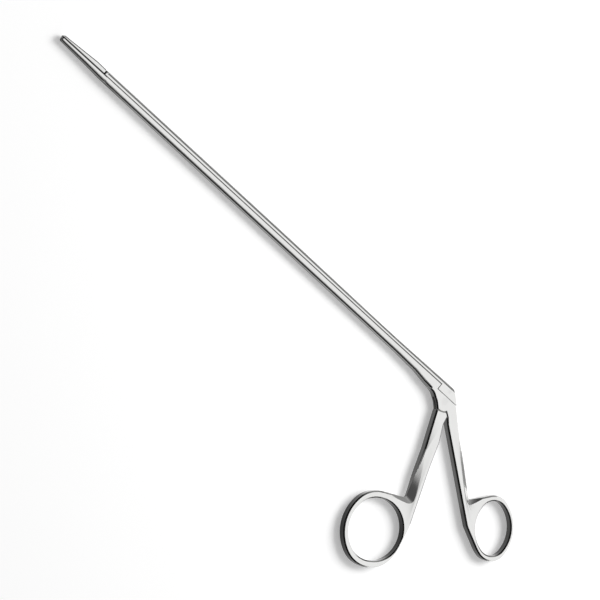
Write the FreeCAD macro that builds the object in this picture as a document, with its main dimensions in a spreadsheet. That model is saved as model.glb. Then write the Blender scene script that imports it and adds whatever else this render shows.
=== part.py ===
import FreeCAD, Part
import math
import os
import Sketcher
from FreeCAD import Vector

# Alligator forceps, closed, lying on one side. X runs along the shaft with the tip at -X, Y is the
# height of the opened jaw, Z is the thickness. The main pivot axis is the Z axis and the side that
# the forceps lie on is at z = 0. Each piece is built about its own middle plane and then raised.

os.makedirs("parts", exist_ok=True)
doc = FreeCAD.newDocument("AlligatorForceps")
sheet = doc.addObject("Spreadsheet::Sheet", "Sizes")

drivingSizes = [
    ("plateThickness", 5.6, "body, handles and rings"),
    ("shaftDepth", 4.2, "both shaft bars, across the plate"),
    ("shaftReach", 234.2, "main pivot to jaw pivot"),
    ("splitHeight", 5.3, "line between the bars over the main pivot"),
    ("slideHeight", 2.55, "upper bar"),
    ("slideWaist", 0.4, "how far the upper bar dips behind the middle"),
    ("barHeight", 3.45, "lower bar at its middle"),
    ("tipHeight", 2.15, "lower jaw at the tip"),
    ("tipDepth", 3.2, "both jaws at the tip, across the plate"),
    ("jawHeight", 2.35, "upper jaw over its hinge"),
    ("jawTipHeight", 1.15, "upper jaw at the tip"),
    ("jawBackRadius", 0.75, "rounding along the back of the upper jaw"),
    ("bellyDrop", 0.25, "underside of the body below the main pivot axis"),
    ("slideClearance", 0.1, "between the two bars"),
    ("sideClearance", 0.05, "each side of a tongue in its slot"),
    ("pinClearance", 0.04, "round a pin that turns"),
    ("shoulderClearance", 0.1, "round cheek to lever shoulder"),
    ("cheekRadius", 5.2, "round cheek of the body"),
    ("eyeRadius", 3.6, "eye of the lever in the body slot"),
    ("tongueThickness", 2.3, "lever tongue"),
    ("mainPinRadius", 1.75, "main pivot pin"),
    ("drivePinRadius", 0.8, "pin in the slide head"),
    ("driveRise", 5.0, "drive pin over the main pivot"),
    ("armRadius", 1.5, "half width of the lever arm"),
    ("slideTravel", 2.07, "slide stroke"),
    ("headFront", 6.6, "step of the slide head ahead of the main pivot"),
    ("headRear", 6.0, "end of the slide head behind the main pivot"),
    ("headDrop", 2.8, "slide head below the split line"),
    ("headSlope", 6.2, "length of the sloping rear of the head"),
    ("stepClearance", 0.35, "slide head to body"),
    ("jawPivotDrop", 1.2, "jaw pivot below the split line"),
    ("linkRise", 2.5, "link pin over the jaw pivot"),
    ("jawPinRadius", 0.5, "jaw pivot pin"),
    ("linkPinRadius", 0.45, "jaw link pin"),
    ("jawTongueThickness", 1.3, "jaw tongue"),
    ("notchWidth", 0.7, "gap between jaw and slide at the top"),
    ("toothPitch", 0.8, "jaw teeth"),
    ("toothDepth", 0.3, "jaw teeth"),
    ("teethSetback", 4.8, "jaw pivot to the first tooth"),
    ("toothedLength", 23.2, "toothed part of the jaws"),
    ("plainTip", 1.8, "smooth tip ahead of the teeth"),
    ("lugSpacing", 97.0, "between guide lugs"),
    ("lugLength", 6.0, "guide lug"),
    ("lugWidth", 2.4, "head of a guide lug"),
    ("neckWidth", 1.2, "neck of a guide lug"),
    ("lugRise", 1.1, "neck of a guide lug, downwards"),
    ("lugThickness", 1.0, "head of a guide lug, downwards"),
    ("rimBevel", 0.7, "bevel of the rings and outer edges"),
    ("edgeRadius", 0.6, "rounding of the plain edges"),
    ("openingBevel", 0.6, "bevel inside the rings"),
    ("fingerRingX", 12.15, "finger ring from the main pivot"),
    ("fingerRingY", 68.8, "finger ring below the main pivot"),
    ("fingerRingLong", 18.5, "finger ring, half length"),
    ("fingerRingWide", 15.65, "finger ring, half width"),
    ("fingerRingTurn", 62.0, "slope of the finger ring in degrees"),
    ("fingerBand", 3.4, "finger ring band at its ends"),
    ("fingerSideBand", 2.5, "finger ring band at its sides"),
    ("thumbRingX", 59.25, "thumb ring from the main pivot"),
    ("thumbRingY", 29.55, "thumb ring below the main pivot"),
    ("thumbRingLong", 15.8, "thumb ring, half length"),
    ("thumbRingWide", 10.85, "thumb ring, half width"),
    ("thumbRingTurn", 52.0, "slope of the thumb ring in degrees"),
    ("thumbBand", 2.7, "thumb ring band at its ends"),
    ("thumbSideBand", 1.7, "thumb ring band at its sides"),
    ("crookRadius", 1.25, "crook between a leg and its ring"),
    ("closingGap", 0.15, "between the handles where they meet when closed"),
]
for row, (alias, number, note) in enumerate(drivingSizes, start=1):
    sheet.set("A%d" % row, alias)
    sheet.set("B%d" % row, str(number))
    sheet.set("C%d" % row, note)
    sheet.setAlias("B%d" % row, alias)
doc.recompute()


class Size:
    """A length worked out from the sheet, with the expression that gives it."""

    def __init__(self, number, text):
        self.number = number
        self.text = text

    def join(self, other, sign, number):
        return Size(number, "(%s %s %s)" % (self.text, sign, other.text))

    def __add__(self, other):
        other = size(other)
        return self.join(other, "+", self.number + other.number)

    def __sub__(self, other):
        other = size(other)
        return self.join(other, "-", self.number - other.number)

    def __mul__(self, other):
        other = size(other)
        return self.join(other, "*", self.number * other.number)

    def __truediv__(self, other):
        other = size(other)
        return self.join(other, "/", self.number / other.number)

    def __radd__(self, other):
        return size(other) + self

    def __rsub__(self, other):
        return size(other) - self

    def __rmul__(self, other):
        return size(other) * self

    def __neg__(self):
        return Size(-self.number, "(0 - %s)" % self.text)


def size(number):
    if isinstance(number, Size):
        return number
    return Size(float(number), repr(float(number)))


def cell(alias):
    return Size(float(sheet.get(alias)), "Sizes." + alias)


def cosine(degrees):
    degrees = size(degrees)
    return Size(math.cos(math.radians(degrees.number)), "cos(%s)" % degrees.text)


def sine(degrees):
    degrees = size(degrees)
    return Size(math.sin(math.radians(degrees.number)), "sin(%s)" % degrees.text)


def root(square):
    return Size(math.sqrt(square.number), "sqrt(%s)" % square.text)


def polar(radius, degrees):
    return radius * cosine(degrees), radius * sine(degrees)


zero = size(0)
joinSlope = math.radians(50)  # slope of the normal where an oval's end arc meets its side arc


# Sketches: every point, radius and angle is held by an expression of the sheet.


def newSketch(body, name, role="XY_Plane", offset=None):
    sketch = body.newObject("Sketcher::SketchObject", name)
    plane = [item for item in body.Origin.OriginFeatures if item.Role == role][0]
    sketch.AttachmentSupport = [(plane, "")]
    sketch.MapMode = "FlatFace"
    if offset is not None:
        sketch.setExpression("AttachmentOffset.Base.z", offset.text)
    return sketch


def bind(sketch, constraint, amount):
    index = sketch.addConstraint(constraint)
    sketch.setExpression("Constraints[%d]" % index, amount.text)


def bindPoint(sketch, geometry, position, x, y):
    if x.number == 0:
        sketch.addConstraint(Sketcher.Constraint("PointOnObject", geometry, position, -2))
    else:
        bind(sketch, Sketcher.Constraint("DistanceX", -1, 1, geometry, position, x.number), x)
    if y.number == 0:
        sketch.addConstraint(Sketcher.Constraint("PointOnObject", geometry, position, -1))
    else:
        bind(sketch, Sketcher.Constraint("DistanceY", -1, 1, geometry, position, y.number), y)


def addLine(sketch, start, end):
    a = Vector(start[0], start[1], 0)
    b = Vector(end[0], end[1], 0)
    return sketch.addGeometry(Part.LineSegment(a, b), False)


def addCircle(sketch, x, y, radius):
    centre = Vector(x.number, y.number, 0)
    index = sketch.addGeometry(Part.Circle(centre, Vector(0, 0, 1), radius.number), False)
    bindPoint(sketch, index, 3, x, y)
    bind(sketch, Sketcher.Constraint("Radius", index, radius.number), radius)


def placed(oval, p, q):
    """A point given along and across an oval, as a place in the sketch."""
    along = cosine(oval["turn"])
    across = sine(oval["turn"])
    return oval["x"] + p * along - q * across, oval["y"] + p * across + q * along


def ovalArcs(oval):
    """The four round arcs of an oval: centre along and across, radius, and where each begins.

    With the arcs meeting at this slope, both half axes come out right for end arcs of radius
    long - offset whose centres lie the offset from the middle."""
    offset = (oval["long"] - oval["wide"]) / (1 + math.tan(joinSlope) - 1 / math.cos(joinSlope))
    small = oval["long"] - offset
    large = small + offset / math.cos(joinSlope)
    drop = offset * math.tan(joinSlope)
    return [(offset, zero, small, -joinSlope), (zero, -drop, large, joinSlope),
            (-offset, zero, small, math.pi - joinSlope), (zero, drop, large, math.pi + joinSlope)]


def ovalJoint(oval, quarter):
    """Where one arc of the oval ends and the next begins, by quarter from the first."""
    offset, _, small, _ = ovalArcs(oval)[0]
    p = offset + small * math.cos(joinSlope)
    q = small * math.sin(joinSlope)
    signs = [(1, -1), (1, 1), (-1, 1), (-1, -1)][quarter % 4]
    return placed(oval, signs[0] * p, signs[1] * q)


def ovalPieces(oval, start, end):
    """The arcs of the oval between two slopes of its outward normal, with the quarter of each."""
    pieces = []
    turn = 0
    while len(pieces) == 0 or pieces[-1]["end"] < end - 1e-9:
        for quarter, (p, q, radius, begin) in enumerate(ovalArcs(oval)):
            first = begin + 2 * math.pi * turn
            span = 2 * joinSlope if quarter % 2 == 0 else math.pi - 2 * joinSlope
            low = max(first, start)
            high = min(first + span, end)
            if high - low > 1e-9:
                pieces.append({"quarter": quarter, "start": low, "end": high, "radius": radius,
                               "centre": placed(oval, p, q), "opens": low == first,
                               "closes": high == first + span})
        turn += 1
    return pieces


def addOvalPieces(sketch, oval, start, end):
    """Adds the arcs and holds them; returns the first and the last arc."""
    turn = math.radians(oval["turn"].number)
    indices = []
    for piece in ovalPieces(oval, start, end):
        x, y = piece["centre"]
        circle = Part.Circle(Vector(x.number, y.number, 0), Vector(0, 0, 1), piece["radius"].number)
        arc = Part.ArcOfCircle(circle, piece["start"] + turn, piece["end"] + turn)
        index = sketch.addGeometry(arc, False)
        bind(sketch, Sketcher.Constraint("Radius", index, piece["radius"].number), piece["radius"])
        if piece["opens"]:
            bindPoint(sketch, index, 1, *ovalJoint(oval, piece["quarter"]))
        if indices:
            sketch.addConstraint(Sketcher.Constraint("Coincident", indices[-1], 2, index, 1))
        if not piece["opens"] or not piece["closes"]:
            held = (piece["end"] if not piece["opens"] else piece["start"]) + turn
            kind, amount = ("DistanceY", y) if abs(math.cos(held)) > 0.7 else ("DistanceX", x)
            bind(sketch, Sketcher.Constraint(kind, -1, 1, index, 3, amount.number), amount)
        indices.append(index)
    return indices[0], indices[-1]


def addOval(sketch, oval):
    first, last = addOvalPieces(sketch, oval, -joinSlope, 2 * math.pi - joinSlope)
    sketch.addConstraint(Sketcher.Constraint("Coincident", last, 2, first, 1))


def tangentSlope(oval, point, side):
    """Slope of the oval's outward normal where the line from a point touches it, from its long axis."""
    turn = math.radians(oval["turn"].number)
    for p, q, radius, begin in ovalArcs(oval):
        x, y = placed(oval, p, q)
        dx = point[0].number - x.number
        dy = point[1].number - y.number
        away = math.hypot(dx, dy)
        if away < radius.number:
            continue
        slope = math.atan2(dy, dx) + side * math.acos(radius.number / away) - turn
        span = 2 * joinSlope if q.number == 0 else math.pi - 2 * joinSlope
        beyond = (slope - begin) % (2 * math.pi)
        if beyond <= span:
            return begin + beyond
    raise ValueError("no tangent to the oval")


def addOutline(sketch, stops):
    """Closed outline of corners, round arcs about the pivot axis and one tangent oval, anticlockwise."""
    joints = []
    for place, stop in enumerate(stops):
        if stop["kind"] == "corner":
            point = (stop["x"].number, stop["y"].number)
            joints.append((point, point))
        elif stop["kind"] == "arc":
            joints.append(tuple((stop["radius"].number * math.cos(math.radians(turn.number)),
                                 stop["radius"].number * math.sin(math.radians(turn.number)))
                                for turn in (stop["first"], stop["last"])))
        else:
            before = stops[place - 1]
            after = stops[(place + 1) % len(stops)]
            stop["start"] = tangentSlope(stop, (before["x"], before["y"]), 1)
            stop["end"] = tangentSlope(stop, (after["x"], after["y"]), -1)
            while stop["end"] < stop["start"]:
                stop["end"] += 2 * math.pi
            turn = math.radians(stop["turn"].number)
            ends = []
            pieces = ovalPieces(stop, stop["start"], stop["end"])
            for piece, slope in ((pieces[0], stop["start"]), (pieces[-1], stop["end"])):
                x, y = piece["centre"]
                ends.append((x.number + piece["radius"].number * math.cos(slope + turn),
                             y.number + piece["radius"].number * math.sin(slope + turn)))
            joints.append(tuple(ends))
    curves = []
    for stop, joint in zip(stops, joints):
        if stop["kind"] == "arc":
            circle = Part.Circle(Vector(0, 0, 0), Vector(0, 0, 1), stop["radius"].number)
            angles = [math.radians(stop["first"].number), math.radians(stop["last"].number)]
            if stop["inward"]:
                angles.reverse()
            while angles[1] < angles[0]:
                angles[1] += 2 * math.pi
            index = sketch.addGeometry(Part.ArcOfCircle(circle, angles[0], angles[1]), False)
            sketch.addConstraint(Sketcher.Constraint("Coincident", index, 3, -1, 1))
            bind(sketch, Sketcher.Constraint("Radius", index, stop["radius"].number), stop["radius"])
            curves.append((index, (2, 1) if stop["inward"] else (1, 2)))
        elif stop["kind"] == "oval":
            curves.append(addOvalPieces(sketch, stop, stop["start"], stop["end"]))
        else:
            curves.append(None)
    lines = []
    for place in range(len(stops)):
        following = (place + 1) % len(stops)
        lines.append(addLine(sketch, joints[place][1], joints[following][0]))
    for place, stop in enumerate(stops):
        into = lines[place - 1]
        out = lines[place]
        if stop["kind"] == "corner":
            sketch.addConstraint(Sketcher.Constraint("Coincident", into, 2, out, 1))
            bindPoint(sketch, out, 1, stop["x"], stop["y"])
        elif stop["kind"] == "arc":
            index, (near, far) = curves[place]
            sketch.addConstraint(Sketcher.Constraint("Coincident", into, 2, index, near))
            sketch.addConstraint(Sketcher.Constraint("Coincident", out, 1, index, far))
            for position, turn in ((near, stop["first"]), (far, stop["last"])):
                height = stop["radius"] * sine(turn)
                bind(sketch, Sketcher.Constraint("DistanceY", -1, 1, index, position, height.number), height)
        else:
            first, last = curves[place]
            sketch.addConstraint(Sketcher.Constraint("Tangent", into, 2, first, 1))
            sketch.addConstraint(Sketcher.Constraint("Tangent", out, 1, last, 2))


def corner(x, y):
    return {"kind": "corner", "x": size(x), "y": size(y)}


def addPolygon(sketch, points):
    addOutline(sketch, [corner(x, y) for x, y in points])


def addStadium(sketch, start, end, radius):
    """A slot with round ends, from one centre to the other."""
    a = Vector(start[0].number, start[1].number, 0)
    b = Vector(end[0].number, end[1].number, 0)
    heading = math.atan2(b.y - a.y, b.x - a.x)
    aside = Vector(-math.sin(heading), math.cos(heading), 0) * radius.number
    normal = Vector(0, 0, 1)
    first = sketch.addGeometry(Part.ArcOfCircle(Part.Circle(a, normal, radius.number),
                                                heading + math.pi / 2, heading + 3 * math.pi / 2), False)
    last = sketch.addGeometry(Part.ArcOfCircle(Part.Circle(b, normal, radius.number),
                                               heading - math.pi / 2, heading + math.pi / 2), False)
    below = sketch.addGeometry(Part.LineSegment(a - aside, b - aside), False)
    above = sketch.addGeometry(Part.LineSegment(b + aside, a + aside), False)
    bindPoint(sketch, first, 3, start[0], start[1])
    bindPoint(sketch, last, 3, end[0], end[1])
    bind(sketch, Sketcher.Constraint("Radius", first, radius.number), radius)
    sketch.addConstraint(Sketcher.Constraint("Tangent", first, 2, below, 1))
    sketch.addConstraint(Sketcher.Constraint("Tangent", below, 2, last, 1))
    sketch.addConstraint(Sketcher.Constraint("Tangent", last, 2, above, 1))
    sketch.addConstraint(Sketcher.Constraint("Tangent", above, 2, first, 1))


def addBarSection(sketch, flat, rounded, halfDepth, radius):
    """Section of a bar: a flat side at one height and two round corners at the other."""
    sign = 1 if rounded.number > flat.number else -1
    inner = rounded - sign * radius
    corners = [(flat, -halfDepth), (flat, halfDepth), (inner, halfDepth),
               (rounded, halfDepth - radius), (rounded, radius - halfDepth), (inner, -halfDepth)]
    points = [(x.number, y.number) for x, y in corners]
    flatLine = addLine(sketch, points[0], points[1])
    upLine = addLine(sketch, points[1], points[2])
    farLine = addLine(sketch, points[3], points[4])
    downLine = addLine(sketch, points[5], points[0])
    arcs = []
    for centreY, low, high in ((halfDepth - radius, 2, 3), (radius - halfDepth, 4, 5)):
        centre = Vector(inner.number, centreY.number, 0)
        angles = [math.atan2(points[k][1] - centre.y, points[k][0] - centre.x) for k in (low, high)]
        swapped = (angles[1] - angles[0]) % (2 * math.pi) > math.pi
        if swapped:
            angles.reverse()
        if angles[1] < angles[0]:
            angles[1] += 2 * math.pi
        circle = Part.Circle(centre, Vector(0, 0, 1), radius.number)
        index = sketch.addGeometry(Part.ArcOfCircle(circle, angles[0], angles[1]), False)
        bind(sketch, Sketcher.Constraint("Radius", index, radius.number), radius)
        arcs.append((index, (2, 1) if swapped else (1, 2)))
    joins = [(flatLine, 2, upLine, 1), (upLine, 2, arcs[0][0], arcs[0][1][0]),
             (arcs[0][0], arcs[0][1][1], farLine, 1), (farLine, 2, arcs[1][0], arcs[1][1][0]),
             (arcs[1][0], arcs[1][1][1], downLine, 1), (downLine, 2, flatLine, 1)]
    for join in joins:
        sketch.addConstraint(Sketcher.Constraint("Coincident", *join))
    holders = [(flatLine, 1), (upLine, 1), (upLine, 2), (farLine, 1), (farLine, 2), (downLine, 1)]
    for (geometry, position), (x, y) in zip(holders, corners):
        bindPoint(sketch, geometry, position, x, y)


# Features


def volumeOf(feature):
    doc.recompute()
    return feature.Shape.Volume


def pad(body, name, sketch, length):
    before = body.Shape.Volume if body.Tip else 0
    feature = body.newObject("PartDesign::Pad", name)
    feature.Profile = sketch
    feature.SideType = "Symmetric"
    feature.setExpression("Length", length.text)
    sketch.Visibility = False
    if volumeOf(feature) <= before:
        raise ValueError(name + " added nothing")
    return feature


def pocket(body, name, sketch, length):
    before = volumeOf(body)
    feature = body.newObject("PartDesign::Pocket", name)
    feature.Profile = sketch
    feature.SideType = "Symmetric"
    feature.setExpression("Length", length.text)
    sketch.Visibility = False
    if volumeOf(feature) >= before:
        raise ValueError(name + " cut nothing")
    return feature


def loft(body, name, sketches):
    feature = body.newObject("PartDesign::AdditiveLoft", name)
    feature.Profile = sketches[0]
    feature.Sections = sketches[1:]
    feature.Ruled = True
    for sketch in sketches:
        sketch.Visibility = False
    doc.recompute()
    return feature


def fillet(body, name, radius, chosen):
    """Rounds every edge of the body that the test picks."""
    doc.recompute()
    base = body.Tip
    names = ["Edge%d" % (k + 1) for k, edge in enumerate(base.Shape.Edges) if chosen(edge)]
    if not names:
        raise ValueError(name + " found no edge")
    feature = body.newObject("PartDesign::Fillet", name)
    feature.Base = (base, names)
    feature.setExpression("Radius", radius.text)
    doc.recompute()
    if "Invalid" in feature.State or not feature.Shape.isValid():
        raise ValueError("%s could not round %s" % (name, names))
    return feature


def chamfer(body, name, width, chosen):
    """Bevels every edge of the body that the test picks."""
    doc.recompute()
    base = body.Tip
    names = ["Edge%d" % (k + 1) for k, edge in enumerate(base.Shape.Edges) if chosen(edge)]
    if not names:
        raise ValueError(name + " found no edge")
    feature = body.newObject("PartDesign::Chamfer", name)
    feature.Base = (base, names)
    feature.setExpression("Size", width.text)
    doc.recompute()
    if "Invalid" in feature.State or not feature.Shape.isValid():
        raise ValueError("%s could not bevel %s" % (name, names))
    return feature


def repeat(body, name, feature, spacing, count):
    pattern = body.newObject("PartDesign::LinearPattern", name)
    pattern.Originals = [feature] if not isinstance(feature, list) else feature
    axis = [item for item in body.Origin.OriginFeatures if item.Role == "X_Axis"][0]
    pattern.Direction = (axis, [""])
    pattern.Reversed = True
    pattern.Mode = "Spacing"
    pattern.setExpression("Offset", spacing.text)
    pattern.setExpression("Occurrences", count.text)
    body.Tip = pattern
    doc.recompute()
    return pattern


def standing(edge, x, y, reach=0.05):
    """True for an edge along the thickness at this place of the outline."""
    ends = [vertex.Point for vertex in edge.Vertexes]
    if len(ends) != 2 or abs(ends[0].z - ends[1].z) < 1:
        return False
    return all(math.hypot(end.x - x.number, end.y - y.number) < reach for end in ends)


def flatMiddle(edge, halfThickness):
    """The middle of an edge that lies in one of the two outer faces, or nothing."""
    box = edge.BoundBox
    if box.ZLength > 0.001 or abs(abs(box.ZMax) - halfThickness.number) > 0.001:
        return None
    return edge.valueAt((edge.FirstParameter + edge.LastParameter) / 2)


def newBody(name, label):
    body = doc.addObject("PartDesign::Body", name)
    body.Label = label
    body.setExpression("Placement.Base.z", "Sizes.plateThickness / 2")
    return body


# Places that several pieces share

thickness = cell("plateThickness")
halfThickness = thickness / 2
depth = cell("shaftDepth")
halfDepth = depth / 2
split = cell("splitHeight")
barTop = split - cell("slideClearance") / 2
slideBottom = split + cell("slideClearance") / 2
slideTop = split + cell("slideHeight")
headBottom = split - cell("headDrop")
barRadius = halfDepth - 0.05
bodyRadius = halfThickness - 0.4

cheek = cell("cheekRadius")
shoulder = cheek + cell("shoulderClearance")
slotRadius = shoulder + 0.05
slotThickness = cell("tongueThickness") + 2 * cell("sideClearance")

driveX = -cell("slideTravel") / 2
driveY = cell("driveRise")

jawX = -cell("shaftReach")
jawY = split - cell("jawPivotDrop")
linkX = jawX - cell("slideTravel") / 2
linkY = jawY + cell("linkRise")
jawSlotThickness = cell("jawTongueThickness") + 2 * cell("sideClearance")
teethStartX = jawX - cell("teethSetback")
tipX = teethStartX - cell("toothedLength") - cell("plainTip")
jawRearX = jawX - 2.9
slideFrontX = jawRearX + cell("notchWidth")
toothCount = Size(math.floor(float(sheet.get("toothedLength")) / float(sheet.get("toothPitch"))),
                  "floor(Sizes.toothedLength / Sizes.toothPitch)")

lugX = size(-23.8)
lugCount = Size(math.floor((float(sheet.get("shaftReach")) - 40) / float(sheet.get("lugSpacing"))) + 1,
                "floor((Sizes.shaftReach - 40) / Sizes.lugSpacing) + 1")
lugStart = lugX - cell("lugLength") / 2
lugEnd = lugX + cell("lugLength") / 2
neckBottom = split - cell("lugRise")
lugBottom = neckBottom - cell("lugThickness")

fingerOval = {"kind": "oval", "x": cell("fingerRingX"), "y": -cell("fingerRingY"),
              "long": cell("fingerRingLong"), "wide": cell("fingerRingWide"), "turn": -cell("fingerRingTurn")}
fingerOpening = dict(fingerOval, long=fingerOval["long"] - cell("fingerBand"),
                     wide=fingerOval["wide"] - cell("fingerSideBand"))
thumbOval = {"kind": "oval", "x": cell("thumbRingX"), "y": -cell("thumbRingY"),
             "long": cell("thumbRingLong"), "wide": cell("thumbRingWide"), "turn": -cell("thumbRingTurn")}
thumbOpening = dict(thumbOval, long=thumbOval["long"] - cell("thumbBand"),
                    wide=thumbOval["wide"] - cell("thumbSideBand"))

fingerCrook = (fingerOval["x"] + 3.2, fingerOval["y"] + cell("fingerRingLong") + 3.5)
fingerWeb = (fingerOval["x"] + 13.55, fingerOval["y"] + 12.1)
thumbCrook = (thumbOval["x"] - cell("thumbRingLong") - 2.4, thumbOval["y"] + 2.5)
thumbWeb = (thumbOval["x"] - 11.05, thumbOval["y"] - 8.05)

closedTurn = size(-41)
noseTurn = size(265)
stopX, stopY = polar(cheek, closedTurn)
landX = stopX + 2.2
landY = stopY - 1.5
legX = landX + 2.4
legY = landY - 2.5

# Fixed frame: lower bar with the fixed jaw, body cheeks and thumb handle

frame = newBody("FixedFrame", "fixed_frame")
bodyEndX = -(cell("headFront") + 2.2)
barHeight = cell("barHeight")
stations = [
    (tipX, cell("tipHeight"), cell("tipDepth") / 2, cell("tipDepth") * 0.43),
    (jawX - 12, cell("tipHeight") + 0.55, halfDepth - 0.2, halfDepth * 0.8),
    (jawX - 2.6, barHeight - 0.3, halfDepth, halfDepth * 0.86),
    (jawX + 27, barHeight - 0.1, halfDepth, halfDepth * 0.86),
    (size(-57), barHeight, halfDepth, halfDepth * 0.86),
    (size(-35), barHeight + 0.15, halfDepth, halfDepth * 0.86),
    (size(-21), barHeight + 0.55, halfDepth * 0.6 + halfThickness * 0.4, halfDepth * 0.82),
    (bodyEndX - 5.5, (barHeight + 0.55) * 0.4 + (split + cell("bellyDrop")) * 0.6, halfDepth * 0.2 + halfThickness * 0.8,
     halfDepth * 0.8),
    (bodyEndX, split + cell("bellyDrop") - 0.1, halfThickness, halfDepth * 0.76),
]
sections = []
for place, (x, height, half, radius) in enumerate(stations):
    sketch = newSketch(frame, "BarSection%d" % place, "YZ_Plane", x)
    addBarSection(sketch, barTop, split - height, half, radius)
    sections.append(sketch)
loft(frame, "LowerBar", sections)

noseX, noseY = polar(cheek, noseTurn)
bellyX = bodyEndX + 1.5
chinX, chinY = polar(cell("eyeRadius") + 0.55, size(221))
plateStops = [
    corner(bodyEndX - 0.5, barTop),
    corner(bodyEndX - 0.5, -cell("bellyDrop") + 0.15),
    corner(bellyX, -cell("bellyDrop")),
    corner(chinX, chinY),
    {"kind": "arc", "radius": cheek, "first": noseTurn, "last": closedTurn + 360, "inward": False},
    corner(landX, landY),
    corner(legX, legY),
    corner(*thumbWeb),
    thumbOval,
    corner(*thumbCrook),
    corner(size(17), size(-7.65)),
    corner(cell("headRear") + 0.15, headBottom - cell("stepClearance")),
    corner(-cell("headFront") - cell("stepClearance"), headBottom - cell("stepClearance")),
    corner(-cell("headFront") - cell("stepClearance"), barTop),
]
plateSketch = newSketch(frame, "PlateOutline")
addOutline(plateSketch, plateStops)
pad(frame, "Plate", plateSketch, thickness)

# the ring is opened and its rims and those of the leg are rounded while the plate is still plain
openingSketch = newSketch(frame, "RingOpening")
addOval(openingSketch, thumbOpening)
pocket(frame, "Opening", openingSketch, thickness * 2)
fillet(frame, "Crook", cell("crookRadius"), lambda edge: standing(edge, *thumbCrook))
fillet(frame, "LegEnds", size(6), lambda edge: standing(edge, *thumbWeb))
fillet(frame, "Belly", size(4.5), lambda edge: standing(edge, bellyX, -cell("bellyDrop")) or standing(edge, chinX, chinY))


def inThumbOpening(point):
    dx = point.x - thumbOval["x"].number
    dy = point.y - thumbOval["y"].number
    turn = math.radians(thumbOval["turn"].number)
    p = (dx * math.cos(turn) + dy * math.sin(turn)) / thumbOval["long"].number
    q = (dy * math.cos(turn) - dx * math.sin(turn)) / thumbOval["wide"].number
    return math.hypot(p, q) < 0.93


def thumbOuterRim(edge):
    point = flatMiddle(edge, halfThickness)
    if point is None or inThumbOpening(point):
        return False
    return point.y < headBottom.number - cell("stepClearance").number - 0.1 and point.x > bodyEndX.number - 0.45


def thumbInnerRim(edge):
    point = flatMiddle(edge, halfThickness)
    return point is not None and point.y < legY.number - 0.2 and inThumbOpening(point)


chamfer(frame, "OpeningRim", cell("openingBevel"), thumbInnerRim)
chamfer(frame, "OuterRim", cell("rimBevel"), thumbOuterRim)


# slot for the lever, and the holes of the two pins that the frame carries
slotSketch = newSketch(frame, "HubSlot")
addCircle(slotSketch, zero, zero, slotRadius)
pocket(frame, "LeverSlot", slotSketch, slotThickness)
mainHoleSketch = newSketch(frame, "MainHole")
addCircle(mainHoleSketch, zero, zero, cell("mainPinRadius"))
pocket(frame, "MainPinHole", mainHoleSketch, thickness * 2)
jawHoleSketch = newSketch(frame, "JawHole")
addCircle(jawHoleSketch, jawX, jawY, cell("jawPinRadius"))
pocket(frame, "JawPinHole", jawHoleSketch, thickness * 2)

# fork for the jaw tongue, closed below
eye = cell("jawPinRadius") + 0.75
forkSketch = newSketch(frame, "ForkOutline")
addPolygon(forkSketch, [(jawX - 3.5, split + 1), (jawX - 3.5, jawY - eye - 0.15),
                        (jawX + eye + 0.55, jawY - eye - 0.15), (jawX + eye + 0.55, split + 1)])
pocket(frame, "Fork", forkSketch, jawSlotThickness)

# undercut tracks for the guide lugs, each with a wider window behind it to let the lug in
gap = cell("slideClearance")
trackEnd = lugEnd + cell("slideTravel") + 0.2
windowEnd = trackEnd + cell("lugLength") + 0.4
neckSketch = newSketch(frame, "NeckTrack")
addPolygon(neckSketch, [(lugStart - 0.2, split + 1), (lugStart - 0.2, neckBottom - 0.1),
                        (windowEnd, neckBottom - 0.1), (windowEnd, split + 1)])
neckCut = pocket(frame, "NeckSlot", neckSketch, cell("neckWidth") + gap)
headSketch = newSketch(frame, "LugTrack")
addPolygon(headSketch, [(lugStart - 0.2, neckBottom + gap), (lugStart - 0.2, lugBottom - gap),
                        (windowEnd, lugBottom - gap), (windowEnd, neckBottom + gap)])
headCut = pocket(frame, "LugSlot", headSketch, cell("lugWidth") + gap)
windowSketch = newSketch(frame, "LugWindow")
addPolygon(windowSketch, [(trackEnd, split + 1), (trackEnd, lugBottom - gap),
                          (windowEnd, lugBottom - gap), (windowEnd, split + 1)])
windowCut = pocket(frame, "LugEntry", windowSketch, cell("lugWidth") + gap)
repeat(frame, "Tracks", [neckCut, headCut, windowCut], cell("lugSpacing"), lugCount)

# teeth of the fixed jaw: one groove, repeated towards the tip
grooveSketch = newSketch(frame, "Groove")
pitch = cell("toothPitch")
addPolygon(grooveSketch, [(teethStartX, barTop), (teethStartX - pitch / 2, barTop - cell("toothDepth")),
                          (teethStartX - pitch, barTop)])
groove = pocket(frame, "ToothGroove", grooveSketch, depth * 2)
repeat(frame, "LowerTeeth", groove, pitch, toothCount)
fillet(frame, "LowerTip", size(0.7), lambda edge: abs(edge.BoundBox.XMax - tipX.number) < 0.01
       and edge.BoundBox.YMax < barTop.number - 0.01)

# Finger handle: leg and ring, hub tongue and the arm that drives the slide

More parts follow.
